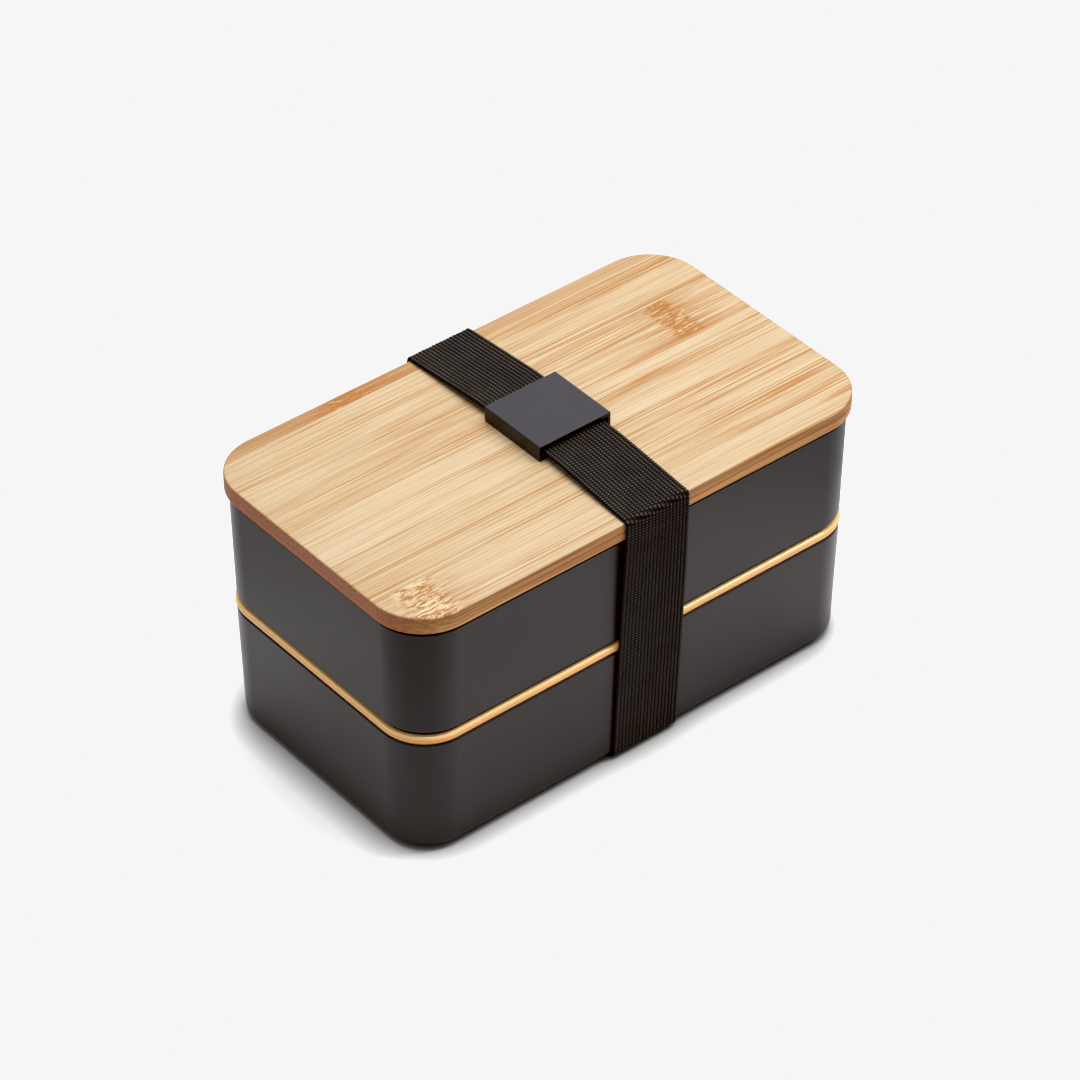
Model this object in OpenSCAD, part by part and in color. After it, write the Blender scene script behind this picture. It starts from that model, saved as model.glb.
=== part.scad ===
// Two-tier bento lunch box. Two plastic trays with round corners stack on each other:
// the lower one stands on two end runners and is closed by an inner lid, which has a
// ring that seats the upper tray. A lid of glued bamboo plies closes the upper tray,
// and an elastic band with a square slider holds the stack together.
// Origin: centre of the footprint, on the surface the box stands on.
// X runs along the box, Y across it and Z up.
//
// The round corners of every part share four upright centre lines. A wall section is
// drawn as reach (how far it stands out from those centre lines) against height, and
// is swept round the box.

/* [Bamboo lid] */
// Length of the lid, along X
lid_l = 185; // [175:1:200]
// Width of the lid, along Y
lid_w = 106; // [98:1:115]
// Thickness of the two visible plies together
lid_t = 6.2; // [5.4:0.1:8]
// Share of that thickness that the upper ply takes
upper_ply_share = 0.58; // [0.4:0.01:0.7]
// Corner radius of the lid
lid_r = 18.5; // [17.5:0.5:22]
// Rounding of the lid's top edge
lid_edge_r = 0.8; // [0.3:0.1:1.5]
// How far the plug under the lid goes down into the upper tray
plug_h = 3.8; // [3.6:0.1:6]
// Width of the bamboo strips that are glued side by side in the upper ply
strip_w = 20.3; // [19.5:0.1:20.8]
// Distance of the middle glue line from the middle of the lid
glue_line_y = 6.6; // [4:0.1:7]

/* [Trays] */
// Height of the lower tray's rim above the table
lower_h = 44.7; // [38:0.1:60]
// Height of the upper tray, from its seat on the inner lid to its rim
upper_h = 43.7; // [36:0.1:60]
// Wall thickness
wall = 2; // [1.6:0.1:2.4]
// Floor thickness
floor_t = 2; // [1.6:0.1:3]
// How far the upper tray's rim stands in from the lid's edge
upper_rim_inset = 1.45; // [1.3:0.05:1.6]
// How far the upper tray's wall stands in from the lid's edge, just above the inner lid
upper_low_inset = 2.2; // [2:0.05:2.4]
// How far the lower tray's rim stands in from the lid's edge
lower_rim_inset = 2.1; // [2:0.05:2.3]
// How far the lower tray's wall would stand in at its base
lower_base_inset = 3.4; // [3:0.05:4]
// Rounding of the lower tray's base edge
base_round = 3; // [2:0.1:4]
// Rounding between wall and floor inside each tray
inner_round = 4; // [2:0.1:6]
// Height of the runners under the lower tray
foot_h = 1.4; // [1.3:0.1:2]
// Half of the gap between the two runners, where the band passes
foot_gap = 60; // [50:1:68]

/* [Inner lid] */
// Thickness of the inner lid's panel
panel_t = 1.6; // [1.4:0.1:2.4]
// Height of the visible ring
ring_h = 2.95; // [2.6:0.05:3.4]
// How far the ring stands in from the bamboo lid's edge
ring_inset = 1.75; // [1.65:0.05:1.9]
// Depth of the skirt inside the lower tray
skirt_h = 3.5; // [3:0.1:6]
// Gap that shows under the ring's outer edge
ring_gap = 0.4; // [0.2:0.1:0.6]

/* [Divider] */
// Distance of the divider from the middle of the lower tray
divider_x = 25; // [-30:1:40]
// Thickness of the divider
divider_t = 1.6; // [1.2:0.1:2.4]

/* [Elastic band] */
// Width of the band
band_w = 24.6; // [20:0.1:26]
// Thickness of the band
band_t = 1.1; // [0.8:0.1:1.1]
// Distance of the band's centre line from the middle of the box
band_x = 2.2; // [-10:0.1:10]
// Space between the band and what it passes
band_gap = 0.3; // [0.3:0.05:0.6]

/* [Slider] */
// How far the slider's middle stands off the band's centre line
slider_shift = 0.4; // [-0.4:0.1:0.4]
// Width of the slider's tunnel, across the band
tunnel_w = 26; // [25.8:0.1:30]
// Thickness of the slider's side walls
slider_wall = 1.2; // [1:0.1:2]
// Length of the slider, along the band
slider_l = 27; // [24:0.5:32]
// Height of the slider above the lid
slider_h = 5.8; // [5.7:0.1:7]
// Thickness of the slider's roof
slider_roof = 1.3; // [1:0.1:1.4]
// Thickness of the plate under the band
plate_t = 1.9; // [1.2:0.1:2]
// How far the slider travels each way from the middle
slider_travel = 8; // [6:1:16]

/* [Hidden] */
$fn = 96;

// Corner centre lines
corner_x = lid_l / 2 - lid_r;
corner_y = lid_w / 2 - lid_r;

// Heights, from the table up
lower_base_z = foot_h;
inner_seat_z = lower_h;
ring_low_z = lower_h + ring_gap;
ring_top_z = ring_low_z + ring_h;
upper_seat_z = inner_seat_z + panel_t;
step_gap = 1.5;
upper_step_z = ring_top_z + step_gap;
upper_rim_z = upper_seat_z + upper_h;
rim_ledge_w = 0.9;
rim_ledge_h = 1.3;
flange_t = 0.6;
lid_low_z = upper_rim_z + flange_t;
lid_top_z = lid_low_z + lid_t;
ply_z = lid_top_z - lid_t * upper_ply_share;

// Reaches from the corner centre lines
upper_rim_r = lid_r - upper_rim_inset;
upper_low_r = lid_r - upper_low_inset;
lower_rim_r = lid_r - lower_rim_inset;
lower_base_r = lid_r - lower_base_inset;
ring_r = lid_r - ring_inset;
ring_wall = 2;
ring_seat_r = ring_r - ring_wall;
step_r = ring_seat_r - 0.35;

// Seals and the parts that hold them
seal_gap = 0.33;
skirt_r = lower_rim_r - wall - 0.5;
skirt_wall = 2.3;
skirt_groove = 0.9;
skirt_lip = 0.8;
bead_r = 0.4;
plug_r = upper_rim_r - wall - 0.6;
plug_groove = 1.2;
plug_lip = 1;

// Runners
foot_r = lower_base_r - 3.6;
foot_w = 3;
fuse = 0.2;

// Divider
divider_clear = 0.4;
divider_foot_l = 10;
divider_foot_t = 1.2;
divider_top_z = inner_seat_z - skirt_h - 0.8;

// Band: its inner face leans from the lower tray's base out to the lid's edge
band_low_y = corner_y + lower_base_r + band_gap + 0.05;
band_lid_y = lid_w / 2 + band_gap;
band_under_z = 0.15;
band_corner_z = band_under_z + band_t;
band_lean = (band_lid_y - band_low_y) / (lid_low_z - foot_h);
band_split = 0.2;
band_flat_y = slider_l / 2 + slider_travel;
lid_clear = 0.1;
plate_z = lid_top_z + lid_clear;
band_flat_z = plate_z + plate_t + lid_clear;
join_l = 18;
join_t = 0.9;
stitch_r = 0.3;
stitch_l = 1.6;
stitch_pitch = 2.6;
stitch_rows = 4;

// Edge of the upper ply's strip number i, counted from the near long side
strips = 6;
function strip_edge(i) = i == 0 ? -lid_w / 2 : i == strips ? lid_w / 2 : glue_line_y + (i - strips / 2) * strip_w;
function tray_reach(low_r, high_r, low, high, z) = low_r + (high_r - low_r) * (z - low) / (high - low);
function lower_reach(z) = tray_reach(lower_base_r, lower_rim_r, lower_base_z, lower_h, z);
function upper_reach(z) = tray_reach(upper_low_r, upper_rim_r, upper_step_z, upper_rim_z, z);
function band_y(z) = band_low_y + band_lean * (z - foot_h);

// Sweeps a section round the box. Its x is the reach and its y is the height.
module around_box() {
    for (flip_x = [0, 1], flip_y = [0, 1])
        mirror([flip_x, 0, 0])
            mirror([0, flip_y, 0])
                translate([corner_x, corner_y, 0])
                    rotate_extrude(angle = 90)
                        children();
    for (flip = [0, 1]) {
        mirror([0, flip, 0])
            translate([-corner_x, corner_y, 0])
                rotate([90, 0, 90])
                    linear_extrude(2 * corner_x)
                        children();
        mirror([flip, 0, 0])
            translate([corner_x, corner_y, 0])
                rotate([90, 0, 0])
                    linear_extrude(2 * corner_y)
                        children();
    }
}

// Sweeps a section that starts at reach 0, and fills the middle between two heights.
module filled_box(low, high) {
    around_box()
        children();
    translate([-corner_x, -corner_y, low])
        cube([2 * corner_x, 2 * corner_y, high - low]);
}

// A leaning wall from reach 0 outward, with its lower edge rounded.
module leaning_section(low_r, high_r, low, high, round) {
    mid_r = tray_reach(low_r, high_r, low, high, low + round);
    polygon([
        [0, low],
        [mid_r - round, low],
        [mid_r - round, low + round],
        [mid_r, low + round],
        [high_r, high],
        [0, high],
    ]);
    translate([mid_r - round, low + round])
        circle(round);
}

// A flat slab with its top edge rounded.
module slab_section(reach, low, high, round) {
    translate([0, low])
        square([reach, high - low - round]);
    translate([0, low])
        square([reach - round, high - low]);
    translate([reach - round, high - round])
        circle(round);
}

// A plain rectangle between two reaches and two heights.
module band_section(near, far, low, high) {
    translate([near, low])
        square([far - near, high - low]);
}

// A polygon in Y and Z, extruded across the band's width.
module across_band(points, width = band_w) {
    translate([band_x - width / 2, 0, 0])
        rotate([90, 0, 90])
            linear_extrude(width)
                polygon(points);
}

// The pair of band slabs, one on each long side, between two heights.
module band_sides(low, high) {
    for (flip = [0, 1])
        mirror([0, flip, 0])
            across_band([
                [band_y(low), low],
                [band_y(low) + band_t, low],
                [band_y(high) + band_t, high],
                [band_y(high), high],
            ]);
}

module lower_tray() {
    inside_top = lower_h + 1;
    color("#2c2d2f") {
        difference() {
            filled_box(lower_base_z, lower_h)
                leaning_section(lower_base_r, lower_rim_r, lower_base_z, lower_h, base_round);
            filled_box(lower_base_z + floor_t, inside_top)
                leaning_section(
                    lower_reach(lower_base_z + floor_t) - wall,
                    lower_reach(inside_top) - wall,
                    lower_base_z + floor_t, inside_top, inner_round
                );
        }
        difference() {
            around_box()
                band_section(foot_r - foot_w, foot_r, 0, foot_h + fuse);
            translate([-foot_gap, -lid_w, -fuse])
                cube([2 * foot_gap, 2 * lid_w, foot_h + 4 * fuse]);
        }
    }
}

module tray_divider() {
    foot_z = lower_base_z + floor_t + 0.1;
    low_y = corner_y + lower_reach(foot_z) - wall - divider_clear;
    high_y = corner_y + lower_reach(divider_top_z) - wall - divider_clear;
    corner = inner_round + 0.4;
    color("#2c2d2f")
        translate([divider_x, 0, 0]) {
            rotate([90, 0, 90])
                linear_extrude(divider_t, center = true) {
                    polygon([
                        [-low_y + corner, foot_z],
                        [low_y - corner, foot_z],
                        [low_y - corner, foot_z + corner],
                        [low_y, foot_z + corner],
                        [high_y, divider_top_z],
                        [-high_y, divider_top_z],
                        [-low_y, foot_z + corner],
                        [-low_y + corner, foot_z + corner],
                    ]);
                    for (side = [-1, 1])
                        translate([side * (low_y - corner), foot_z + corner])
                            circle(corner);
                }
            translate([-divider_foot_l / 2, corner - low_y, foot_z])
                cube([divider_foot_l, 2 * (low_y - corner), divider_foot_t]);
        }
}

module inner_lid() {
    round = ring_h / 2;
    color("#c99a5b")
        difference() {
            filled_box(inner_seat_z - skirt_h, ring_top_z) {
                band_section(0, ring_r - ring_wall / 2, inner_seat_z, ring_low_z + round);
                band_section(0, ring_r - round, ring_low_z, ring_top_z);
                translate([ring_r - round, ring_low_z + round])
                    circle(round);
                band_section(0, skirt_r, inner_seat_z - skirt_lip, inner_seat_z + panel_t / 2);
                band_section(0, skirt_r - skirt_groove, inner_seat_z - skirt_h, inner_seat_z);
                band_section(0, skirt_r, inner_seat_z - skirt_h, inner_seat_z - skirt_h + skirt_lip);
            }
            filled_box(upper_seat_z, ring_top_z + 1)
                band_section(0, ring_seat_r, upper_seat_z, ring_top_z + 1);
            filled_box(inner_seat_z - skirt_h - 1, inner_seat_z)
                band_section(0, skirt_r - skirt_wall, inner_seat_z - skirt_h - 1, inner_seat_z);
        }
}

module inner_lid_seal() {
    low = inner_seat_z - skirt_h + skirt_lip;
    high = inner_seat_z - skirt_lip;
    mid = (low + high) / 2;
    bead_reach = lower_reach(mid) - wall - seal_gap - bead_r;
    color("#1c1c1d")
        around_box() {
            band_section(skirt_r - skirt_groove, bead_reach, low, high);
            translate([bead_reach, mid])
                circle(bead_r);
        }
}

module upper_tray() {
    inside_top = upper_rim_z + 1;
    floor_z = upper_seat_z + floor_t;
    color("#2c2d2f")
        difference() {
            union() {
                filled_box(upper_seat_z, upper_step_z + fuse)
                    band_section(0, step_r, upper_seat_z, upper_step_z + fuse);
                filled_box(upper_step_z, upper_rim_z)
                    polygon([
                        [0, upper_step_z],
                        [upper_low_r, upper_step_z],
                        [upper_rim_r, upper_rim_z - rim_ledge_h],
                        [upper_rim_r - rim_ledge_w, upper_rim_z - rim_ledge_h],
                        [upper_rim_r - rim_ledge_w, upper_rim_z],
                        [0, upper_rim_z],
                    ]);
            }
            filled_box(floor_z, inside_top)
                leaning_section(
                    upper_reach(floor_z) - wall, upper_reach(inside_top) - wall,
                    floor_z, inside_top, inner_round
                );
        }
}

// One strip of the upper ply, cut out of the whole slab.
module lid_strip(i) {
    color("#e3c08b")
        intersection() {
            filled_box(ply_z, lid_top_z)
                slab_section(lid_r, ply_z, lid_top_z, lid_edge_r);
            translate([-lid_l, strip_edge(i - 1), ply_z - 1])
                cube([2 * lid_l, strip_edge(i) - strip_edge(i - 1), lid_t + 2]);
        }
}

module lid_lower_ply() {
    color("#cf9f66")
        filled_box(lid_low_z, ply_z)
            band_section(0, lid_r, lid_low_z, ply_z);
}

module lid_plug() {
    low = lid_low_z - plug_h;
    color("#d9b27a")
        filled_box(low, lid_low_z) {
            band_section(0, plug_r - plug_groove, low, lid_low_z);
            band_section(0, plug_r, low, low + plug_lip);
        }
}

module lid_seal() {
    low = lid_low_z - plug_h + plug_lip;
    mid = (low + upper_rim_z) / 2;
    bead_reach = upper_reach(mid) - wall - seal_gap - bead_r;
    color("#1c1c1d")
        around_box() {
            band_section(plug_r - plug_groove, bead_reach, low, lid_low_z);
            band_section(plug_r - plug_groove, upper_rim_r - 0.7, upper_rim_z, lid_low_z);
            translate([bead_reach, mid])
                circle(bead_r);
        }
}

module band_under() {
    reach = band_y(band_corner_z) + band_t;
    color("#161616")
        across_band([
            [-reach, band_under_z],
            [reach, band_under_z],
            [reach, band_corner_z],
            [-reach, band_corner_z],
        ]);
}

module band_low() {
    color("#161616")
        band_sides(band_corner_z, inner_seat_z + band_split);
}

module band_ring() {
    color("#161616")
        band_sides(inner_seat_z + band_split, ring_top_z + band_split);
}

module band_high() {
    color("#161616")
        band_sides(ring_top_z + band_split, lid_low_z - band_split);
}

module band_top() {
    low = lid_low_z - band_split;
    in_y = band_y(low);
    edge_z = lid_top_z + lid_clear;
    color("#161616")
        across_band([
            [-in_y, low],
            [-band_lid_y, lid_low_z],
            [-band_lid_y, edge_z],
            [-band_flat_y, band_flat_z],
            [band_flat_y, band_flat_z],
            [band_lid_y, edge_z],
            [band_lid_y, lid_low_z],
            [in_y, low],
            [in_y + band_t, low],
            [band_lid_y + band_t, lid_low_z],
            [band_lid_y + band_t, edge_z],
            [band_lid_y, edge_z + band_t],
            [band_flat_y, band_flat_z + band_t],
            [-band_flat_y, band_flat_z + band_t],
            [-band_lid_y, edge_z + band_t],
            [-band_lid_y - band_t, edge_z],
            [-band_lid_y - band_t, lid_low_z],
            [-in_y - band_t, low],
        ]);
}

module band_join() {
    low = band_flat_z + band_t;
    color("#161616")
        across_band([
            [-join_l / 2, low],
            [join_l / 2, low],
            [join_l / 2, low + join_t],
            [-join_l / 2, low + join_t],
        ]);
}

module join_stitches() {
    last = floor((band_w - 4) / stitch_pitch);
    first_x = band_x - last * stitch_pitch / 2;
    color("#303030")
        for (row = [0 : stitch_rows - 1], step = [0 : last])
            translate([first_x + step * stitch_pitch, (row - (stitch_rows - 1) / 2) * (join_l - 4) / 3, 0])
                translate([-stitch_l / 2, 0, band_flat_z + band_t + join_t])
                    intersection() {
                        rotate([0, 90, 0])
                            cylinder(h = stitch_l, r = stitch_r);
                        translate([0, -stitch_r, 0])
                            cube([stitch_l, 2 * stitch_r, stitch_r]);
                    }
}

module slider_cover() {
    slider_w = tunnel_w + 2 * slider_wall;
    tunnel_h = slider_h - slider_roof;
    color("#1b1b1e")
        translate([band_x + slider_shift, 0, plate_z])
            difference() {
                translate([-slider_w / 2, -slider_l / 2, 0])
                    cube([slider_w, slider_l, slider_h - lid_clear]);
                translate([-tunnel_w / 2, -slider_l, -1])
                    cube([tunnel_w, 2 * slider_l, tunnel_h + 1 - lid_clear]);
            }
}

module slider_plate() {
    color("#1b1b1e")
        translate([band_x + slider_shift - tunnel_w / 2, -slider_l / 2, plate_z])
            cube([tunnel_w, slider_l, plate_t]);
}

lower_tray();
tray_divider();
inner_lid();
inner_lid_seal();
upper_tray();
lid_strip(1);  // lid_strip_1
lid_strip(2);  // lid_strip_2
lid_strip(3);  // lid_strip_3
lid_strip(4);  // lid_strip_4
lid_strip(5);  // lid_strip_5
lid_strip(6);  // lid_strip_6
lid_lower_ply();
lid_plug();
lid_seal();
band_under();
band_low();
band_ring();
band_high();
band_top();
band_join();
join_stitches();
slider_cover();
slider_plate();
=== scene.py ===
# Bento lunch box with a bamboo lid, two stacked trays and an elastic band.
# Lengths in the dictionaries are millimetres; mm turns them into metres.
import math

import bmesh
import bpy
import numpy as np
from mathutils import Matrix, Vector


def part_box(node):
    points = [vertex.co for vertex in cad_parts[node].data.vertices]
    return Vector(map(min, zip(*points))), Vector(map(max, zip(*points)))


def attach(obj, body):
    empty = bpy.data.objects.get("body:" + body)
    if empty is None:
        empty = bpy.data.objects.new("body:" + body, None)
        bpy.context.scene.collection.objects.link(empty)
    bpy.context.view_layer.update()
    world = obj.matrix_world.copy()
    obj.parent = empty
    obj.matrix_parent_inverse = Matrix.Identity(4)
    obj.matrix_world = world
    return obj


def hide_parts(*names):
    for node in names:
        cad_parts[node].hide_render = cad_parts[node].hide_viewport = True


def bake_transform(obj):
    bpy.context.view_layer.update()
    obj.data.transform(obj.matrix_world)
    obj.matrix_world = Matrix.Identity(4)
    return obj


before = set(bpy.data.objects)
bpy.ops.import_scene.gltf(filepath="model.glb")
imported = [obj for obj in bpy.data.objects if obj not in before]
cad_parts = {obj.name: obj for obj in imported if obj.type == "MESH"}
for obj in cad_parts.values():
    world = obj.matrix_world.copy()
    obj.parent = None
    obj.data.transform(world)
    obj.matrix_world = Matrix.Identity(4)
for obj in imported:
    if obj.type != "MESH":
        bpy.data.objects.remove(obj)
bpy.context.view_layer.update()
mm = 0.001

stack = {
    "lidCornerRound": 18.5,  # every part's corners turn about the same four centre lines
    "cornerSteps": 16,  # faces in each quarter turn
    "roundSteps": 6,  # faces in each small edge rounding
    "sharpAngle": 35,  # degrees; edges flatter than this are shaded smooth
}


def nodeBox(node):
    low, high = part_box(node)
    return low / mm, high / mm


cornerX = nodeBox("lid_lower_ply")[1].x - stack["lidCornerRound"]
cornerY = nodeBox("lid_lower_ply")[1].y - stack["lidCornerRound"]


def reachOf(node):
    return nodeBox(node)[1].x - cornerX


def wayRound(quarters=(0, 1, 2, 3), straightTo=None):
    # The line that a section is swept along: a corner centre and the direction out of it.
    # With straightTo, the sweep starts and ends on the long sides at that distance along X.
    steps = stack["cornerSteps"]
    signs = ((1, 1), (-1, 1), (-1, -1), (1, -1))
    way = []
    for quarter in quarters:
        signX, signY = signs[quarter]
        for k in range(steps + 1):
            angle = math.pi / 2 * (quarter + k / steps)
            way.append((signX * cornerX, signY * cornerY, math.cos(angle), math.sin(angle)))
    if straightTo is not None:
        first, last = way[0], way[-1]
        way.insert(0, (straightTo, first[1], first[2], first[3]))
        way.append((straightTo, last[1], last[2], last[3]))
    return way


def rounded(corners, steps=None):
    # Turns (across, up, rounding) corners into a line with arcs.
    steps = steps or stack["roundSteps"]
    line = []
    for i, (across, up, rounding) in enumerate(corners):
        here = np.array((across, up), float)
        if rounding <= 0 or i in (0, len(corners) - 1):
            line.append(tuple(here))
            continue
        toBefore = np.array(corners[i - 1][:2], float) - here
        toAfter = np.array(corners[i + 1][:2], float) - here
        toBefore /= np.linalg.norm(toBefore)
        toAfter /= np.linalg.norm(toAfter)
        halfBend = math.acos(np.clip(toBefore @ toAfter, -1, 1)) / 2
        middle = toBefore + toAfter
        centre = here + middle / np.linalg.norm(middle) * rounding / math.sin(halfBend)
        setBack = rounding / math.tan(halfBend)
        start = here + toBefore * setBack - centre
        end = here + toAfter * setBack - centre
        startAngle = math.atan2(start[1], start[0])
        turn = (math.atan2(end[1], end[0]) - startAngle + math.pi) % (2 * math.pi) - math.pi
        for k in range(steps + 1):
            angle = startAngle + turn * k / steps
            line.append((centre[0] + rounding * math.cos(angle), centre[1] + rounding * math.sin(angle)))
    return line


def sweptMesh(name, section, way, closedWay=True, closedSection=False):
    # A section of (reach, height) swept round the box. An open section has its two ends filled.
    made = bmesh.new()
    rows = []
    for centreX, centreY, outX, outY in way:
        rows.append([
            made.verts.new(((centreX + reach * outX) * mm, (centreY + reach * outY) * mm, height * mm))
            for reach, height in section
        ])
    rowCount = len(rows)
    pointCount = len(section)
    for i in range(rowCount if closedWay else rowCount - 1):
        after = rows[(i + 1) % rowCount]
        for k in range(pointCount if closedSection else pointCount - 1):
            far = (k + 1) % pointCount
            made.faces.new((rows[i][k], after[k], after[far], rows[i][far]))
    if closedSection:
        if not closedWay:
            made.faces.new(rows[0])
            made.faces.new(rows[-1])
    else:
        made.faces.new([row[0] for row in rows])
        made.faces.new([row[-1] for row in rows])
    return meshFrom(name, made)


def meshFrom(name, made):
    bmesh.ops.recalc_face_normals(made, faces=made.faces)
    mesh = bpy.data.meshes.new(name)
    made.to_mesh(mesh)
    made.free()
    return mesh


def addBox(made, low, high):
    corners = [
        made.verts.new((x * mm, y * mm, z * mm))
        for x in (low[0], high[0]) for y in (low[1], high[1]) for z in (low[2], high[2])
    ]
    for face in ((0, 1, 3, 2), (4, 6, 7, 5), (0, 4, 5, 1), (2, 3, 7, 6), (0, 2, 6, 4), (1, 5, 7, 3)):
        made.faces.new([corners[k] for k in face])


def extrudedMesh(name, outline, axis, low, high):
    # A flat outline pushed along one axis. The outline's two numbers are the other axes in order.
    made = bmesh.new()
    ends = []
    for level in (low, high):
        loop = []
        for first, second in outline:
            place = [first, second]
            place.insert(axis, level)
            loop.append(made.verts.new([value * mm for value in place]))
        ends.append(loop)
    made.faces.new(ends[0])
    made.faces.new(ends[1])
    count = len(outline)
    for k in range(count):
        after = (k + 1) % count
        made.faces.new((ends[0][k], ends[0][after], ends[1][after], ends[1][k]))
    return meshFrom(name, made)


def newPiece(name, mesh, material, nodes, body=None, softEdge=0, weighted=True):
    piece = bpy.data.objects.new(name, mesh)
    bpy.context.scene.collection.objects.link(piece)
    mesh.materials.append(material)
    mesh.shade_smooth()
    mesh.set_sharp_from_angle(angle=math.radians(stack["sharpAngle"]))
    if softEdge:
        bevel = piece.modifiers.new("softEdge", "BEVEL")
        bevel.width = softEdge * mm
        bevel.segments = 3
        bevel.limit_method = "ANGLE"
        bevel.angle_limit = math.radians(40)
        bevel.harden_normals = True
    elif weighted:
        piece.modifiers.new("evenShade", "WEIGHTED_NORMAL").keep_sharp = True
    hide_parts(*nodes)
    if body:
        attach(piece, body)
    return piece


def startMaterial(name, **shader):
    material = bpy.data.materials.new(name)
    material.use_nodes = True
    tree = material.node_tree
    finish = tree.nodes["Principled BSDF"]
    for key, value in shader.items():
        finish.inputs[key].default_value = value
    return material, tree, finish


def put(tree, kind, inputs=None, **settings):
    made = tree.nodes.new("ShaderNode" + kind)
    for key, value in settings.items():
        setattr(made, key, value)
    for key, value in (inputs or {}).items():
        if isinstance(value, bpy.types.NodeSocket):
            tree.links.new(value, made.inputs[key])
        else:
            made.inputs[key].default_value = value
    return made


def maths(tree, operation, first, second=None, third=None):
    inputs = {0: first}
    if second is not None:
        inputs[1] = second
    if third is not None:
        inputs[2] = third
    return put(tree, "Math", inputs, operation=operation).outputs[0]


def spread(tree, value, low, high, newLow=0.0, newHigh=1.0):
    inputs = {"Value": value, "From Min": low, "From Max": high, "To Min": newLow, "To Max": newHigh}
    return put(tree, "MapRange", inputs, interpolation_type="SMOOTHSTEP").outputs["Result"]


def grain(tree, place, stretch, detail=2.0, roughness=0.5, distortion=0.0):
    # Noise with its own scale along each axis, in cycles per millimetre.
    scaled = put(tree, "VectorMath", {0: place, 1: stretch}, operation="MULTIPLY").outputs[0]
    inputs = {
        "Vector": scaled,
        "Scale": 1.0,
        "Detail": detail,
        "Roughness": roughness,
        "Distortion": distortion,
    }
    return put(tree, "TexNoise", inputs).outputs["Fac"]


def blendColour(tree, share, first, second, kind="MIX"):
    made = put(tree, "Mix", {"Factor": share}, data_type="RGBA", blend_type=kind)
    for key, value in ((6, first), (7, second)):
        if isinstance(value, bpy.types.NodeSocket):
            tree.links.new(value, made.inputs[key])
        else:
            made.inputs[key].default_value = (*value, 1)
    return made.outputs[2]


def millimetres(tree, output="Object", shift=(0, 0, 0)):
    coordinates = put(tree, "TexCoord").outputs[output]
    scaled = put(tree, "VectorMath", {0: coordinates, "Scale": 1 / mm}, operation="SCALE").outputs[0]
    return put(tree, "VectorMath", {0: scaled, 1: shift}, operation="ADD").outputs[0]


def facingParts(tree):
    # Which way a face looks, along X, Y and Z: 1 along the axis and -1 against it.
    normal = put(tree, "TexCoord").outputs["Normal"]
    return put(tree, "SeparateXYZ", {0: normal}).outputs


def setBump(tree, finish, height, strength, depth):
    bump = put(tree, "Bump", {"Height": height, "Strength": strength, "Distance": depth * mm})
    tree.links.new(bump.outputs["Normal"], finish.inputs["Normal"])


# Scales are in waves for each millimetre along X, Y and Z. The grain runs along X.
bamboo = {
    "pale": (0.292, 0.232, 0.149),
    "warm": (0.228, 0.148, 0.064),
    "line": (0.190, 0.080, 0.014),
    "mark": (0.180, 0.066, 0.0075),
    "glint": (0.318, 0.250, 0.150),
    "endGrain": (0.170, 0.052, 0.016),
    "wanderScale": (0.014, 0.05, 0.05),
    "toneLayers": [  # fibres, broad bands and narrow bands, from pale to warm wood
        {
            "scale": (0.032, 1.8, 1.2), "detail": 3.0, "rough": 0.7,
            "from": 0.42, "full": 0.62, "share": 0.64,
        },
        {"scale": (0.009, 0.16, 0.12), "from": 0.35, "full": 0.65, "share": 0.25},
        {"scale": (0.012, 1.1, 0.5), "from": 0.44, "full": 0.62, "share": 0.28},
    ],
    "lineLayers": [  # thin dark lines along the grain
        {"scale": (0.0035, 1.50, 0.5), "detail": 1.0, "from": 0.590, "full": 0.645, "share": 0.80},
        {"scale": (0.0060, 2.50, 0.9), "detail": 1.0, "from": 0.575, "full": 0.620, "share": 1.0},
        {"scale": (0.0220, 2.60, 1.1), "detail": 1.0, "from": 0.590, "full": 0.645, "share": 0.85},
    ],
    "linePatches": {"scale": (0.011, 0.12, 0.1), "from": 0.40, "full": 0.60, "least": 0.30, "share": 1.15},
    "lineGain": (-50, 50, 1.5),  # the lines get this much stronger between these places along X
    "hairLines": {"scale": (0.016, 2.6, 1.6), "rough": 0.7, "from": 0.52, "full": 0.62, "share": 0.42},
    "stainFibres": (0.35, 0.6, 0.3, 1.0),  # a glue stain is this much weaker on pale fibres
    "stainFade": 30,  # length over which a glue stain comes in
    "leftTintFrom": (40, -20),
    "knotWander": {"scale": (0.02, 0.85, 0.5), "rough": 0.6, "from": -6.0, "to": 6.0},
    "knotCore": 0.45,  # share of a knot's half width where it is full of crumbs
    "knotCrumbs": {"scale": (0.22, 1.25, 1.0), "detail": 3.0, "rough": 0.75, "twist": 0.7, "soft": 0.07},
    "knotGlintFrom": 0.35,
    "knotSink": 0.4,
    "knotStreaks": {
        "scale": (0.06, 1.5, 1.0), "detail": 3.0, "rough": 0.6, "from": 0.46, "full": 0.60, "share": 0.8,
    },
    "sideFrom": (0.85, 0.25),  # how far a face looks up where the darker edge comes in
    "sideLines": {"scale": (0.012, 0.5, 1.1), "detail": 3.0, "rough": 0.6, "from": 0.38, "full": 0.62},
    "sideBlend": 0.35,
    "endFrom": (0.45, 0.95),  # how far a face looks along X where the end grain comes in
    "endDots": {"scale": (0.2, 1.9, 2.1), "from": 0.42, "full": 0.62},
    "roughness": (0.40, 0.56),
    "bump": 0.35,
    "bumpDepth": 0.05,
}


def layerNoise(tree, place, layer):
    detail, rough = layer.get("detail", 2.0), layer.get("rough", 0.5)
    return grain(tree, place, layer["scale"], detail, rough, layer.get("twist", 0.0))


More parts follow.
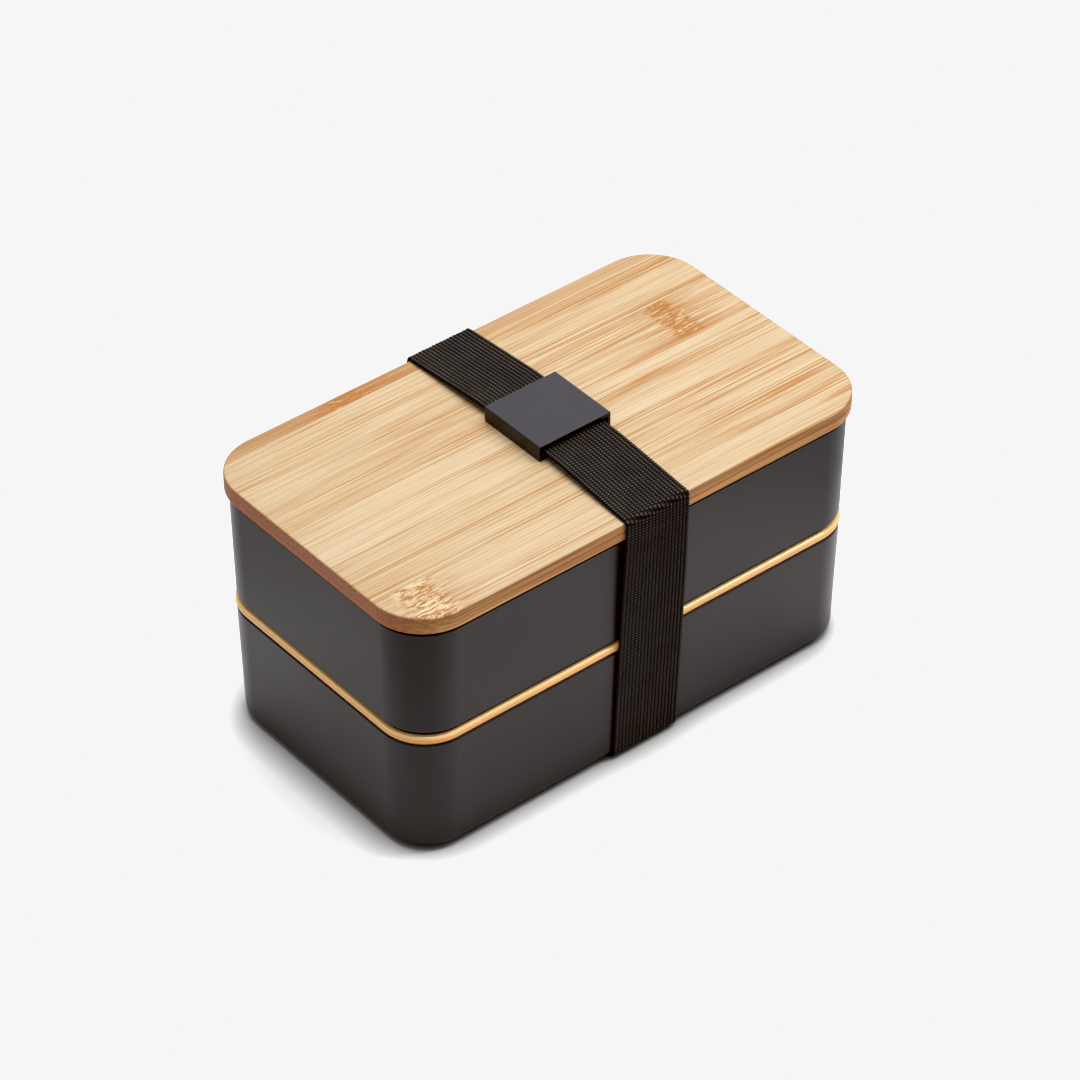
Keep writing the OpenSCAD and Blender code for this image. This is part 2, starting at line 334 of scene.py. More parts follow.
def layerShare(tree, noise, layer):
    least, share = layer.get("least", 0.0), layer.get("share", 1.0)
    return spread(tree, noise, layer["from"], layer["full"], least, share)


def woodLayer(tree, place, name):
    layer = bamboo[name]
    return layerShare(tree, layerNoise(tree, place, layer), layer)


def woodPlace(tree, look):
    # Coordinates in millimetres, pushed sideways a little so that the grain wanders.
    place = millimetres(tree, "Object", look["shift"])
    wander = grain(tree, place, bamboo["wanderScale"], 1.0)
    wander = maths(tree, "MULTIPLY_ADD", wander, look["wander"], -look["wander"] / 2)
    pushed = put(tree, "CombineXYZ", {"Y": wander, "Z": wander}).outputs[0]
    return put(tree, "VectorMath", {0: place, 1: pushed}, operation="ADD").outputs[0]


def woodTone(tree, place, look):
    # The wood between its pale and its warm colour, and the fibres themselves.
    noises = [layerNoise(tree, place, layer) for layer in bamboo["toneLayers"]]
    tone = 0.0
    for noise, layer in zip(noises, bamboo["toneLayers"]):
        tone = maths(tree, "ADD", tone, layerShare(tree, noise, layer))
    tone = maths(tree, "MULTIPLY", tone, look["warmth"])
    tint = look.get("tint", (1, 1, 1))
    paleWood = tuple(value * share for value, share in zip(bamboo["pale"], tint))
    warmWood = tuple(value * share for value, share in zip(bamboo["warm"], tint))
    return blendColour(tree, tone, paleWood, warmWood), noises[0]


def addLines(tree, place, here, look, fibres, colour):
    # Thin dark lines in patches, hair lines everywhere and stains along the glue lines.
    lines = 0.0
    for layer in bamboo["lineLayers"]:
        threads = layerShare(tree, layerNoise(tree, place, layer), layer)
        lines = maths(tree, "MAXIMUM", threads, lines)
    lines = maths(tree, "MULTIPLY", lines, woodLayer(tree, place, "linePatches"))
    gainFrom, gainTo, gain = bamboo["lineGain"]
    lines = maths(tree, "MULTIPLY", lines, spread(tree, here["X"], gainFrom, gainTo, 1.0, gain))
    darkening = maths(tree, "MULTIPLY_ADD", lines, look["lines"], woodLayer(tree, place, "hairLines"))
    for glue in look.get("glueStains", ()):
        gap = maths(tree, "ABSOLUTE", maths(tree, "SUBTRACT", here["Y"], glue["y"]))
        stain = spread(tree, gap, glue["reach"], 0.0, 0.0, glue["strength"])
        stain = maths(tree, "MULTIPLY", stain, spread(tree, fibres, *bamboo["stainFibres"]))
        fadeIn = spread(tree, here["X"], glue["from"], glue["from"] + bamboo["stainFade"])
        stain = maths(tree, "MULTIPLY", stain, fadeIn)
        darkening = maths(tree, "ADD", darkening, stain)
    return blendColour(tree, darkening, colour, bamboo["line"])


def addKnot(tree, place, here, knot, colour, height):
    # A node of the cane: dark crumbs with pale glints between them, and streaks that bleed from it.
    wander = bamboo["knotWander"]
    tremble = layerNoise(tree, place, wander)
    tremble = maths(tree, "MULTIPLY_ADD", tremble, wander["to"] - wander["from"], wander["from"])
    offset = maths(tree, "ADD", maths(tree, "SUBTRACT", here["X"], knot["x"]), tremble)
    away = maths(tree, "ABSOLUTE", offset)
    inside = spread(tree, away, knot["halfWidth"], knot["halfWidth"] * bamboo["knotCore"])
    crumbs = layerNoise(tree, place, bamboo["knotCrumbs"])
    crumbs = spread(tree, crumbs, knot["sparse"], knot["sparse"] + bamboo["knotCrumbs"]["soft"])
    bleed = spread(tree, away, knot["bleed"], 0.0)
    bleed = maths(tree, "MULTIPLY", bleed, woodLayer(tree, place, "knotStreaks"))
    mark = maths(tree, "MAXIMUM", maths(tree, "MULTIPLY", inside, crumbs), bleed)
    mark = maths(tree, "MULTIPLY", mark, knot["strength"])
    colour = blendColour(tree, mark, colour, bamboo["mark"])
    glints = spread(tree, crumbs, bamboo["knotGlintFrom"], 0.0, 0.0, knot["glints"])
    glints = maths(tree, "MULTIPLY", inside, glints)
    colour = blendColour(tree, glints, colour, bamboo["glint"])
    return colour, maths(tree, "SUBTRACT", height, maths(tree, "MULTIPLY", mark, bamboo["knotSink"]))


def addEdges(tree, place, look, colour):
    # Darker wood on the long edges and end grain on the ends.
    facing = facingParts(tree)
    sideShare = spread(tree, maths(tree, "ABSOLUTE", facing["Z"]), *bamboo["sideFrom"])
    sideTint = blendColour(tree, woodLayer(tree, place, "sideLines"), look["edgeDark"], look["edgePale"])
    sideWood = blendColour(tree, bamboo["sideBlend"], sideTint, colour, "MULTIPLY")
    colour = blendColour(tree, sideShare, colour, sideWood)
    endShare = spread(tree, maths(tree, "ABSOLUTE", facing["X"]), *bamboo["endFrom"])
    endWood = blendColour(tree, woodLayer(tree, place, "endDots"), look["endPale"], bamboo["endGrain"])
    return blendColour(tree, endShare, colour, endWood)


def bambooMaterial(name, look):
    material, tree, finish = startMaterial(name, IOR=1.45)
    finish.inputs["Specular IOR Level"].default_value = 0.22
    place = woodPlace(tree, look)
    here = put(tree, "SeparateXYZ", {0: millimetres(tree)}).outputs
    colour, fibres = woodTone(tree, place, look)
    colour = addLines(tree, place, here, look, fibres, colour)
    if "leftTint" in look:
        leftShare = spread(tree, here["X"], *bamboo["leftTintFrom"])
        colour = blendColour(tree, leftShare, colour, look["leftTint"], "MULTIPLY")
    height = fibres
    for knot in look.get("knots", ()):
        colour, height = addKnot(tree, place, here, knot, colour, height)
    colour = addEdges(tree, place, look, colour)
    tree.links.new(colour, finish.inputs["Base Color"])
    rough = spread(tree, fibres, 0.3, 0.7, *bamboo["roughness"])
    tree.links.new(rough, finish.inputs["Roughness"])
    setBump(tree, finish, height, bamboo["bump"], bamboo["bumpDepth"])
    return material


print("scene: materials")
edgeTints = {
    "edgeDark": (0.24, 0.090, 0.0180),
    "edgePale": (0.43, 0.200, 0.056),
    "endPale": (0.27, 0.094, 0.037),
}
# Knots and glue stains are placed in millimetres from the middle of the lid.
stripLooks = [
    {"shift": (311, 17, 5), "warmth": 0.44, "lines": 0.66, "wander": 1.2,
     "knots": [{"x": -79.5, "halfWidth": 9.0, "bleed": 24,
                "strength": 1.1, "sparse": 0.47, "glints": 1.0}]},
    {"shift": (120, 73, 40), "warmth": 0.60, "lines": 0.75, "wander": 0.7},
    {"shift": (-240, 29, 77), "warmth": 0.30, "lines": 0.60, "wander": 0.7},
    {"shift": (53, 143, 11), "warmth": 0.68, "lines": 0.66, "wander": 1.0,
     "knots": [{"x": 68.5, "halfWidth": 6.8, "bleed": 22,
                "strength": 1.15, "sparse": 0.43, "glints": 0.4}],
     "glueStains": [{"y": 7.2, "reach": 3.2, "from": 25, "strength": 0.85}]},
    {"shift": (17, 211, 63), "warmth": 0.62, "lines": 0.70, "wander": 0.8},
    {"shift": (190, 251, 91), "warmth": 0.8, "lines": 0.85, "wander": 1.5,
     "tint": (0.86, 0.74, 0.64), "leftTint": (0.90, 0.80, 0.70),
     "knots": [{"x": -39, "halfWidth": 8.0, "bleed": 32,
                "strength": 1.6, "sparse": 0.40, "glints": 0.4}]},
]
stripMaterials = [
    bambooMaterial(f"bambooStrip{i + 1}", {**edgeTints, **look}) for i, look in enumerate(stripLooks)
]
underPly = bambooMaterial("bambooUnderPly", {
    "shift": (77, 31, 19),
    "warmth": 0.9,
    "lines": 0.7,
    "wander": 1.5,
    "edgeDark": (0.33, 0.110, 0.022),
    "edgePale": (0.56, 0.295, 0.095),
    "endPale": (0.33, 0.095, 0.019),
})

plastic = {
    "cloudScale": (0.035, 0.035, 0.05),
    "cloudTone": 0.2,  # share that the colour changes by, up and down
    "cloudGloss": 0.08,
    "poreGloss": 0.06,
    "poreDepth": 0.03,
    "paintedHighlightFrom": (0.05, 0.80),  # how far a face looks up where its painted highlight comes in
}
trayLook = {
    "colour": (0.0046, 0.0026, 0.0025),
    "roughness": 0.40,
    "ior": 1.27,
    "texture": 2.4,  # grains of the moulded surface in each millimetre
}


def plasticMaterial(name, look):
    # Moulded plastic with a fine spark texture and slow changes of gloss.
    # Faces that look up can be given a paler colour, a painted highlight where light falls from above.
    material, tree, finish = startMaterial(name, IOR=look.get("ior", 1.46))
    place = millimetres(tree)
    cloudy = grain(tree, place, plastic["cloudScale"], 2.0)
    low = tuple(value * (1 - plastic["cloudTone"]) for value in look["colour"])
    high = tuple(value * (1 + plastic["cloudTone"]) for value in look["colour"])
    colour = blendColour(tree, cloudy, low, high)
    # Painted highlight: a paler colour on the faces that look up.
    if "paintedHighlightColour" in look:
        paintedTopLightShare = spread(tree, facingParts(tree)["Z"], *plastic["paintedHighlightFrom"])
        colour = blendColour(tree, paintedTopLightShare, colour, look["paintedHighlightColour"])
    tree.links.new(colour, finish.inputs["Base Color"])
    texture = look["texture"]
    pores = grain(tree, place, (texture, texture, texture), 2.0, 0.6)
    cloudGloss, poreGloss = plastic["cloudGloss"], plastic["poreGloss"]
    gloss = maths(tree, "MULTIPLY_ADD", cloudy, cloudGloss, look["roughness"] - cloudGloss / 2)
    gloss = maths(tree, "MULTIPLY_ADD", pores, poreGloss, maths(tree, "SUBTRACT", gloss, poreGloss / 2))
    tree.links.new(gloss, finish.inputs["Roughness"])
    setBump(tree, finish, pores, look.get("bump", 0.10), plastic["poreDepth"])
    return material, tree, finish


trayPlastic = plasticMaterial("trayPlastic", trayLook)[0]
# The tan ring's colour is painted shade, darker orange on its sides; the paler colour on its top faces is
# a painted highlight.
tanPlastic = plasticMaterial("tanPlastic", {
    "colour": (0.54, 0.235, 0.052),
    "paintedHighlightColour": (0.76, 0.47, 0.185),
    "roughness": 0.16,
    "ior": 1.5,
    "texture": 1.6,
    "bump": 0.04,
})[0]
silicone = plasticMaterial("silicone", {
    "colour": (0.0025, 0.0022, 0.0022),
    "roughness": 0.75,
    "ior": 1.16,
    "texture": 4.0,
})[0]
sewingThread = plasticMaterial("sewingThread", {
    "colour": (0.03, 0.03, 0.03),
    "roughness": 0.6,
    "texture": 6.0,
})[0]


sliderLook = {
    "colour": (0.0006, 0.0003, 0.0002),
    # The near-black colour above is painted shade on the sides; the paler one below is a painted sheen on
    # the top.
    "paintedSheenColour": (0.0115, 0.0105, 0.0150),
    "roughness": 0.14,
    "upperRoughness": 0.36,
    "upperFrom": (0.6, 0.95),  # how far a face looks up where the satin finish and its painted sheen come in
    "ior": 1.27,
    "texture": 5.0,
}


def sliderMaterial():
    # Satin on the faces that look up, polished on the sides. The faces that look up also get a paler
    # colour, a painted sheen, and the sides a near-black colour, painted shade.
    material, tree, finish = plasticMaterial("sliderPlastic", sliderLook)
    up = facingParts(tree)["Z"]
    upperFrom = sliderLook["upperFrom"]
    satin = spread(tree, up, *upperFrom, sliderLook["roughness"], sliderLook["upperRoughness"])
    hazy = grain(tree, millimetres(tree), (0.06, 0.06, 0.06), 2.0)
    paintedTopLightShare = spread(tree, up, *upperFrom)
    # Painted sheen on the faces that look up, painted shade on the sides.
    colour = blendColour(tree, paintedTopLightShare, sliderLook["colour"], sliderLook["paintedSheenColour"])
    colour = blendColour(tree, maths(tree, "MULTIPLY", hazy, 0.3), colour, (0, 0, 0))
    tree.links.new(colour, finish.inputs["Base Color"])
    tree.links.new(maths(tree, "MULTIPLY_ADD", hazy, 0.06, satin), finish.inputs["Roughness"])
    return material


sliderPlastic = sliderMaterial()

weaveLook = {
    # The groove colour is painted shade in the hollows between beads; the bead colour is a painted
    # highlight on the raised beads.
    "groove": (0.0004, 0.0003, 0.0002),
    "bead": (0.050, 0.043, 0.036),
    "roughness": 0.60,
    "beadStep": 0.22,  # share of a stitch that each rib is ahead of the one before
}


def weaveMaterial():
    # The UV map counts ribs across the band and stitches along it.
    material, tree, finish = startMaterial("elasticWeave", IOR=1.35)
    finish.inputs["Specular IOR Level"].default_value = 0.08
    count = put(tree, "SeparateXYZ", {0: put(tree, "TexCoord").outputs["UV"]})
    ribCount, stitchCount = count.outputs["X"], count.outputs["Y"]
    rib = maths(tree, "ABSOLUTE", maths(tree, "SINE", maths(tree, "MULTIPLY", ribCount, math.pi)))
    ahead = maths(tree, "MULTIPLY", maths(tree, "FLOOR", ribCount), weaveLook["beadStep"])
    slant = maths(tree, "MULTIPLY_ADD", maths(tree, "FRACT", ribCount), 0.25, ahead)
    turn = maths(tree, "MULTIPLY", maths(tree, "ADD", stitchCount, slant), 2 * math.pi)
    bead = maths(tree, "MULTIPLY_ADD", maths(tree, "COSINE", turn), 0.5, 0.5)
    bead = spread(tree, bead, 0.30, 0.95, 0.04, 1.0)
    paintedReliefLight = maths(tree, "MULTIPLY", spread(tree, rib, 0.35, 0.95), bead)
    place = millimetres(tree)
    lint = grain(tree, place, (3.5, 3.5, 3.5), 2.0, 0.6)
    worn = grain(tree, place, (0.12, 0.12, 0.12), 2.0)
    paintedReliefLight = maths(tree, "MULTIPLY", paintedReliefLight, spread(tree, lint, 0.30, 0.65, 0.35, 1.0))
    paintedReliefLight = maths(tree, "MULTIPLY", paintedReliefLight, spread(tree, worn, 0.3, 0.7, 0.75, 1.1))
    # Painted shade in the grooves and a painted highlight on the raised beads, following the relief.
    colour = blendColour(tree, paintedReliefLight, weaveLook["groove"], weaveLook["bead"])
    tree.links.new(colour, finish.inputs["Base Color"])
    rough = weaveLook["roughness"]
    rough = spread(tree, lint, 0.3, 0.7, rough - 0.10, rough + 0.15)
    tree.links.new(rough, finish.inputs["Roughness"])
    setBump(tree, finish, lint, 0.4, 0.06)
    return material


elasticWeave = weaveMaterial()

print("scene: trays")
tray = {
    "wall": 2.0,
    "floor": 2.0,
    "rimOuterRound": 0.5,
    "rimLedge": (0.90, 1.30),  # depth and height of the ledge that the lid's edge closes over
    "rimInnerRound": 0.9,
    "ledgeRimRound": 0.5,  # the upper tray's rim is thinner, so its inner edge is tighter
    "innerRound": 4.0,
    "baseRound": 3.0,
    "footHeight": 1.4,
    "footInset": 3.6,  # from the tray's base edge in to the runner
    "footWidth": 3.0,
    "footRound": 0.6,
    "footSink": 0.2,  # the runner goes this far into the tray's floor
    "footFrom": 60.0,  # the runners stay this far from the middle
    "lowerBaseReach": 15.1,
    "upperStepReach": 14.4,
    "upperStepHeight": 3.25,
    "upperLowReach": 16.3,
    "upperLowRound": 0.8,
    "ledgeRound": 0.15,
}


def lowerTrayMesh():
    high = nodeBox("lower_tray")[1]
    rimReach = high.x - cornerX
    baseZ = tray["footHeight"]
    floorZ = baseZ + tray["floor"]
    lean = (rimReach - tray["lowerBaseReach"]) / (high.z - baseZ)
    floorReach = tray["lowerBaseReach"] + lean * tray["floor"] - tray["wall"]
    section = rounded([
        (2, baseZ, 0),
        (tray["lowerBaseReach"], baseZ, tray["baseRound"]),
        (rimReach, high.z, tray["rimOuterRound"]),
        (rimReach - tray["wall"], high.z, tray["rimInnerRound"]),
        (floorReach, floorZ, tray["innerRound"]),
        (2, floorZ, 0),
    ])
    mesh = sweptMesh("lowerTray", section, wayRound())
    outer = tray["lowerBaseReach"] - tray["footInset"]
    inner = outer - tray["footWidth"]
    footTop, footRound = baseZ + tray["footSink"], tray["footRound"]
    runner = rounded([
        (inner, footTop, 0), (inner, 0, footRound), (outer, 0, footRound), (outer, footTop, 0),
    ], 3)
    made = bmesh.new()
    made.from_mesh(mesh)
    for quarters, start in (((3, 0), tray["footFrom"]), ((1, 2), -tray["footFrom"])):
        foot = sweptMesh("runner", runner, wayRound(quarters, start), False, True)
        made.from_mesh(foot)
        bpy.data.meshes.remove(foot)
    made.to_mesh(mesh)
    made.free()
    return mesh


def upperTrayMesh():
    low, high = nodeBox("upper_tray")
    rimReach = high.x - cornerX
    stepZ = low.z + tray["upperStepHeight"]
    ledgeDepth, ledgeHeight = tray["rimLedge"]
    floorZ = low.z + tray["floor"]
    lean = (rimReach - tray["upperLowReach"]) / (high.z - stepZ)
    floorReach = tray["upperLowReach"] + lean * (floorZ - stepZ) - tray["wall"]
    section = rounded([
        (2, low.z, 0),
        (tray["upperStepReach"], low.z, 0.5),
        (tray["upperStepReach"], stepZ, 0.3),
        (tray["upperLowReach"], stepZ, tray["upperLowRound"]),
        (rimReach, high.z - ledgeHeight, tray["ledgeRound"]),
        (rimReach - ledgeDepth, high.z - ledgeHeight, 0.1),
        (rimReach - ledgeDepth, high.z, tray["ledgeRound"]),
        (rimReach - tray["wall"], high.z, tray["ledgeRimRound"]),
        (floorReach, floorZ, tray["innerRound"]),
        (2, floorZ, 0),
    ])
    return sweptMesh("upperTray", section, wayRound())


newPiece("lowerTray", lowerTrayMesh(), trayPlastic, ["lower_tray"], "lower_tray")
newPiece("upperTray", upperTrayMesh(), trayPlastic, ["upper_tray"], "upper_tray")

divider = {
    "thickness": 1.6,
    "footThickness": 1.2,
    "lean": 0.03,  # how much the lower tray's sides lean
    "cornerRound": 4.4,
    "topRound": 1.2,
    "edgeRound": 0.35,
    "footSink": 0.05,  # the foot goes this far into the wall above it
}


def dividerMesh():
    low, high = nodeBox("tray_divider")
    middleX = (low.x + high.x) / 2
    lowHalf = high.y - divider["lean"] * (high.z - low.z)
    section = rounded([
        (0, low.z, 0),
        (lowHalf, low.z, divider["cornerRound"]),
        (high.y, high.z, divider["topRound"]),
        (0, high.z, 0),
    ])
    outline = section + [(-across, up) for across, up in reversed(section[1:-1])]
    half = divider["thickness"] / 2
    mesh = extrudedMesh("divider", outline, 0, middleX - half, middleX + half)
    made = bmesh.new()
    made.from_mesh(mesh)
    footHalf = lowHalf - divider["cornerRound"]
    inside = half - divider["footSink"]
    for near, far in ((low.x, middleX - inside), (middleX + inside, high.x)):
        addBox(made, (near, -footHalf, low.z), (far, footHalf, low.z + divider["footThickness"]))
    bmesh.ops.recalc_face_normals(made, faces=made.faces)
    made.to_mesh(mesh)
    made.free()
    return mesh


newPiece("divider", dividerMesh(), trayPlastic, ["tray_divider"], "divider",
         softEdge=divider["edgeRound"])

print("scene: inner lid")
innerLid = {
    "panel": 1.6,
    "ringHeight": 2.95,
    "ringWall": 2.0,
    "contactInset": 1.0,
    "skirtDepth": 3.5,
    "skirtReach": 13.9,
    "skirtWall": 2.3,
    "grooveDepth": 0.9,
    "grooveLip": 0.8,
    "softRound": 0.25,
}


def innerLidMesh():
    low, high = nodeBox("inner_lid")
    ring = high.x - cornerX
    seatZ = low.z + innerLid["skirtDepth"]
    panelZ = seatZ + innerLid["panel"]
    ringLow = high.z - innerLid["ringHeight"]
    ringRound = innerLid["ringHeight"] / 2 - 0.01
    soft = innerLid["softRound"]
    skirt = innerLid["skirtReach"]
    groove = skirt - innerLid["grooveDepth"]
    section = rounded([
        (2, panelZ, 0),
        (ring - innerLid["ringWall"], panelZ, 0.5),
        (ring - innerLid["ringWall"], high.z, 0.3),
        (ring, high.z, ringRound),
        (ring, ringLow, ringRound),
        (ring - innerLid["contactInset"], ringLow, 0.1),
        (ring - innerLid["contactInset"], seatZ, 0.1),
        (skirt, seatZ, 0.2),
        (skirt, seatZ - innerLid["grooveLip"], soft),
        (groove, seatZ - innerLid["grooveLip"], 0.1),
        (groove, low.z + innerLid["grooveLip"], 0.1),
        (skirt, low.z + innerLid["grooveLip"], soft),
        (skirt, low.z, soft),
        (skirt - innerLid["skirtWall"], low.z, soft),
        (skirt - innerLid["skirtWall"], seatZ, 0.5),
        (2, seatZ, 0),
    ])
    return sweptMesh("innerLid", section, wayRound())


seal = {
    "beadDepth": 0.5,
    "beadHeight": 0.84,
    "beadRound": 0.38,
    "backRound": 0.15,
    "flangeRound": 0.2,
    "grooveOverlap": 0.02,  # the seal's back goes this far into the groove's wall
}


def sealMesh(name, inner, bead, low, high, flange=None):
    # A gasket: a flat back in the groove and a round bead towards the tray wall.
    middle = (low + high) / 2
    backReach = bead - seal["beadDepth"]
    beadLow, beadHigh = middle - seal["beadHeight"] / 2, middle + seal["beadHeight"] / 2
    section = [
        (inner, low, 0), (backReach, low, seal["backRound"]), (backReach, beadLow, 0.1),
        (bead, beadLow, seal["beadRound"]), (bead, beadHigh, seal["beadRound"]),
        (backReach, beadHigh, 0.1),
    ]
    if flange:
        reach, flangeLow = flange
        section += [
            (backReach, flangeLow, seal["backRound"]), (reach, flangeLow, seal["flangeRound"]),
            (reach, high, seal["flangeRound"]), (inner, high, 0),
        ]
    else:
        section += [(backReach, high, seal["backRound"]), (inner, high, 0)]
    return sweptMesh(name, rounded(section, 4), wayRound(), True, True)


newPiece("innerLid", innerLidMesh(), tanPlastic, ["inner_lid"], "inner_lid")
sealLow, sealHigh = nodeBox("inner_lid_seal")
sealBack = innerLid["skirtReach"] - innerLid["grooveDepth"] + seal["grooveOverlap"]
innerSeal = sealMesh("innerLidSeal", sealBack, reachOf("inner_lid_seal"), sealLow.z, sealHigh.z)
newPiece("innerLidSeal", innerSeal, silicone, ["inner_lid_seal"], "inner_lid")

print("scene: lid")
lid = {
    "topRound": 0.8,
    "bottomRound": 0.5,
    "plyRound": 0.12,  # the fine groove where the two plies meet
    "glueLineRound": 0.07,
    "plugLip": 1.0,
    "plugGroove": 1.2,
    "sealGap": 0.35,  # from the seal's bead to the tray wall
    "flange": 0.6,
    "flangeInset": 0.35,
}


def slabMesh(name, low, high, lowRound, highRound):
    reach = stack["lidCornerRound"]
    section = rounded([
        (2, low, 0), (reach, low, lowRound), (reach, high, highRound), (2, high, 0),
    ])
    return sweptMesh(name, section, wayRound())


def stripMesh(number):
    # One strip cut out of the upper ply; the glue lines get a very fine chamfer.
    low, high = nodeBox(f"lid_strip_{number}")
    slab = slabMesh("slab", low.z, high.z, lid["plyRound"], lid["topRound"])
    made = bmesh.new()
    made.from_mesh(slab)
    bpy.data.meshes.remove(slab)
    for level, outward in ((low.y, -1), (high.y, 1)):
        if abs(abs(level) - cornerY - stack["lidCornerRound"]) < 0.1:
            continue
        everything = made.verts[:] + made.edges[:] + made.faces[:]
        cut = bmesh.ops.bisect_plane(
            made, geom=everything, dist=1e-7, plane_co=(0, level * mm, 0), plane_no=(0, outward, 0),
            clear_outer=True,
        )
        rim = [part for part in cut["geom_cut"] if isinstance(part, bmesh.types.BMEdge)]
        bmesh.ops.holes_fill(made, edges=rim)
    return meshFrom(f"lidStrip{number}", made)


for number in range(1, 7):
    newPiece(f"lidStrip{number}", stripMesh(number), stripMaterials[number - 1],
             [f"lid_strip_{number}"], "lid", softEdge=lid["glueLineRound"])

plyLow, plyHigh = nodeBox("lid_lower_ply")
lowerPly = slabMesh("lidLowerPly", plyLow.z, plyHigh.z, lid["bottomRound"], lid["plyRound"])
newPiece("lidLowerPly", lowerPly, underPly, ["lid_lower_ply"], "lid")


def plugMesh():
    low, high = nodeBox("lid_plug")
    reach = high.x - cornerX
    groove = reach - lid["plugGroove"]
    section = rounded([
        (2, low.z, 0), (reach, low.z, 0.4), (reach, low.z + lid["plugLip"], 0.2),
        (groove, low.z + lid["plugLip"], 0.1), (groove, high.z, 0.1), (2, high.z, 0),
    ])
    return sweptMesh("lidPlug", section, wayRound())


newPiece("lidPlug", plugMesh(), underPly, ["lid_plug"], "lid")
sealLow, sealHigh = nodeBox("lid_seal")
sealBack = reachOf("lid_plug") - lid["plugGroove"] + seal["grooveOverlap"]
beadReach = reachOf("upper_tray") - tray["wall"] - lid["sealGap"]
flange = (reachOf("lid_seal") - lid["flangeInset"], sealHigh.z - lid["flange"])
lidSeal = sealMesh("lidSeal", sealBack, beadReach, sealLow.z, sealHigh.z, flange)
newPiece("lidSeal", lidSeal, silicone, ["lid_seal"], "lid")

print("scene: band")
band = {
    "thickness": 0.80,  # below the ribs
    "ribs": 18,
    "ribHeight": 0.34,
    "ribColumns": 4,
    "beadPitch": 1.08,
    "beadDepth": 0.45,  # share of a rib's height between two stitches
    "toothDepth": 0.34,
    "edgeHeight": 0.82,  # of the outermost ribs, as a share of the thickness
    "ribReach": 0.99,  # share of the half width that the ribs cover
    "innerReach": 0.985,  # and that the inner face covers
    "innerColumns": 9,
    "cornerRound": 2.6,
    "lidEdgeRound": 0.9,
    "lidEdgeGap": 0.1,
    "lidSideRound": 5,
    "rampRound": 60,
    "flatHalf": 21.5,
    "roundSteps": 14,
    "footY": 45,
    "lidEdgeY": 52,
    "sliderY": 14,  # the band is narrowest up to here, under the slider
    "wideTo": 0.7,  # share of the way up to the lid where the band starts to narrow
    "smoothRows": 20,
    "sideWidth": 26.0,
    "lidWidth": 25.0,
    "sliderWidth": 24.5,
    "nearLine": (0.8, 1.65),  # the band's middle along X at the foot and at the lid, near side
    "farLine": (1.5, 1.95),
    "sliderLine": 2.7,
    "slabThickness": 1.1,  # of the plain slabs that the woven pieces stand in for
    "stretchFoot": 27,  # the stretch under the box is taken up below this height
    "stretchMiddle": 67,  # the upper tray's lift is taken up below it, the lid's above it
}


def bandPath():
    # The band's inner face in Y and Z, once round the box from the middle of its underside.
    slab = band["slabThickness"]
    underHigh = nodeBox("band_under")[1]
    topHigh = nodeBox("band_top")[1]
    splitHigh = nodeBox("band_low")[1]
    lidSide = topHigh.y - slab
    lidLowZ = nodeBox("lid_lower_ply")[0].z
    splitSide, splitZ = splitHigh.y - slab, splitHigh.z
    lean = (lidSide - splitSide) / (lidLowZ - splitZ)
    footSide = splitSide - lean * (splitZ - underHigh.z)
    edgeZ = nodeBox("lid_strip_3")[1].z + band["lidEdgeGap"]
    corners = [
        (0, underHigh.z, 0),
        (-footSide, underHigh.z, band["cornerRound"]),
        (-lidSide, lidLowZ, band["lidSideRound"]),
        (-lidSide, edgeZ, band["lidEdgeRound"]),
        (-band["flatHalf"], topHigh.z - slab, band["rampRound"]),
        (band["flatHalf"], topHigh.z - slab, band["rampRound"]),
        (lidSide, edgeZ, band["lidEdgeRound"]),
        (lidSide, lidLowZ, band["lidSideRound"]),
        (footSide, underHigh.z, band["cornerRound"]),
        (0, underHigh.z, 0),
    ]
    line = np.array(rounded(corners, band["roundSteps"]))
    steps = np.linalg.norm(np.diff(line, axis=0), axis=1)
    distance = np.concatenate(([0], np.cumsum(steps)))
    rowCount = 4 * round(distance[-1] / band["beadPitch"])
    along = np.arange(rowCount + 1) * distance[-1] / rowCount
    y = np.interp(along, distance, line[:, 0])
    z = np.interp(along, distance, line[:, 1])
    return along, y, z


def smoothed(values, reach):
    # Running mean over the closed loop.
    ring = values[:-1]
    kernel = np.ones(2 * reach + 1) / (2 * reach + 1)
    padded = np.concatenate((ring[-reach:], ring, ring[:reach]))
    mean = np.convolve(padded, kernel, mode="valid")
    return np.append(mean, mean[0])


bandAlong, bandY, bandZ = bandPath()
bandRows = len(bandAlong) - 1
lidTopZ = nodeBox("lid_strip_3")[1].z
lidBottomZ = nodeBox("lid_lower_ply")[0].z
bandFootZ = nodeBox("band_under")[1].z


